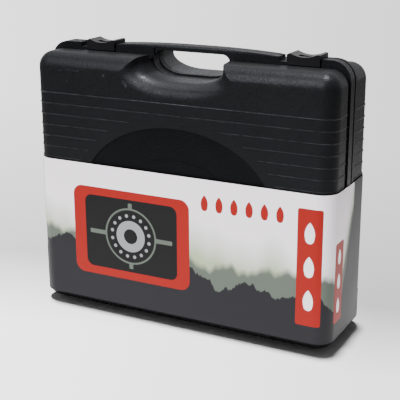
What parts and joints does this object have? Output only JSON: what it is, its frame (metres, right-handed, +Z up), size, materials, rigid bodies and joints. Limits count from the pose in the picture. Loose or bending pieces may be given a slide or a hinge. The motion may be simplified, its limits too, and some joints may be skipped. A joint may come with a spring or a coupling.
{
  "type": "cassette gas stove in carry case",
  "caption": "Portable cassette gas stove packed in a hinged black moulded carry case that stands on its hinge edge, with sliding catches, a finger handle and a plain printed card sleeve.",
  "frame": {"origin": "on the ground under the middle of the closed case, on the plane where its two shells meet", "axes": "+X to the case's right seen from the front, +Y to the back, +Z up to the handle"},
  "size_m": [0.3736, 0.111, 0.3197],
  "materials": {
    "case_plastic": "satin blow-moulded polyethylene, near black",
    "catch_plastic": "moulded polypropylene, black",
    "printed_card": "coated folding-box card with an offset print",
    "red_enamel": "gloss red stove enamel on pressed steel",
    "black_enamel": "vitreous black enamel",
    "galvanised_steel": "galvanised sheet",
    "plated_steel": "bright zinc plate",
    "burner_steel": "pressed stainless steel",
    "cast_aluminium": "as cast, fettled",
    "zinc_casting": "zinc die casting",
    "brass": "turned",
    "foot_rubber": "moulded",
    "seal_rubber": "nitrile ring",
    "wire_silicone": "silicone insulation",
    "knob_plastic": "moulded phenolic, black",
    "panel_plastic": "moulded ABS, fine texture",
    "nylon": "natural nylon",
    "electrode_ceramic": "glazed alumina tube"
  },
  "bodies": {
    "base": {"case_rear_shell": "case_plastic", "hinge_pins": "plated_steel"},
    "lid": {"case_front_shell": "case_plastic"},
    "catch_left": {"latch_left": "catch_plastic"},
    "catch_right": {"latch_right": "catch_plastic"},
    "sleeve_front_half": {"sleeve_front": "printed_card"},
    "sleeve_rear_half": {"sleeve_rear": "printed_card"},
    "stove": {"stove_body": "red_enamel", "base_plate": "galvanised_steel", "rubber_feet": "foot_rubber", "base_screws": "plated_steel", "heat_shield": "galvanised_steel", "burner_head": "cast_aluminium", "burner_cap": "burner_steel", "burner_bracket": "galvanised_steel", "burner_screws": "plated_steel", "mixing_tube": "cast_aluminium", "injector_jet": "brass", "gas_pipe": "brass", "regulator_body": "zinc_casting", "regulator_seal": "seal_rubber", "regulator_bracket": "galvanised_steel", "control_panel": "panel_plastic", "piezo_igniter": "nylon", "spark_electrode": "electrode_ceramic", "ignition_wire": "wire_silicone", "detent_spring": "plated_steel", "cover_hinge_pin": "plated_steel", "cover_hinge_leaf": "plated_steel"},
    "tray": {"drip_tray": "black_enamel", "pan_support_arms": "black_enamel"},
    "knob": {"control_knob": "knob_plastic", "valve_spindle": "brass", "igniter_cam": "nylon"},
    "lever": {"lock_lever": "knob_plastic"},
    "cradle": {"cartridge_cradle": "galvanised_steel"},
    "cover": {"cartridge_cover": "red_enamel"}
  },
  "joints": [
    {"name": "lid_hinge", "type": "hinge", "parent": "base", "child": "lid", "pos_m": [0, 0, 0.004], "axis": [1, 0, 0], "range_deg": [0, 170]},
    {"name": "catch_left_slide", "type": "slide", "parent": "lid", "child": "catch_left", "axis": [-1, 0, 0], "range_m": [0, 0.008]},
    {"name": "catch_right_slide", "type": "slide", "parent": "lid", "child": "catch_right", "axis": [-1, 0, 0], "range_m": [0, 0.008]},
    {"name": "sleeve_slide", "type": "slide", "parent": "lid", "child": "sleeve_front_half", "axis": [0, 0, 1], "range_m": [0, 0.32]},
    {"name": "sleeve_rear_slide", "type": "slide", "parent": "base", "child": "sleeve_rear_half", "axis": [0, 0, 1], "range_m": [0, 0.32]},
    {"name": "stove_lift", "type": "slide", "parent": "base", "child": "stove", "axis": [0, -1, 0], "range_m": [0, 0.06]},
    {"name": "tray_lift", "type": "slide", "parent": "stove", "child": "tray", "axis": [0, -1, 0], "range_m": [0, 0.03]},
    {"name": "cover_hinge", "type": "hinge", "parent": "stove", "child": "cover", "pos_m": [0.1728, 0.00495, 0.18], "axis": [0, 0, 1], "range_deg": [0, 105]},
    {"name": "knob_turn", "type": "hinge", "parent": "stove", "child": "knob", "pos_m": [0.128, 0.00595, 0.02], "axis": [0, 0, -1], "range_deg": [0, 130]},
    {"name": "lever_slide", "type": "slide", "parent": "stove", "child": "lever", "axis": [0, 1, 0], "range_m": [0, 0.012]},
    {"name": "cradle_slide", "type": "slide", "parent": "stove", "child": "cradle", "axis": [0, 0, -1], "range_m": [0, 0.005]}
  ],
  "couplings": [
    {"joint": "sleeve_rear_slide", "follows": "sleeve_slide", "ratio": 1},
    {"joint": "stove_lift", "follows": "lid_hinge", "m_per_rad": 0.02},
    {"joint": "tray_lift", "follows": "lid_hinge", "m_per_rad": 0.01},
    {"joint": "cover_hinge", "follows": "lid_hinge", "ratio": 0.6},
    {"joint": "cradle_slide", "follows": "lever_slide", "ratio": 0.4}
  ]
}
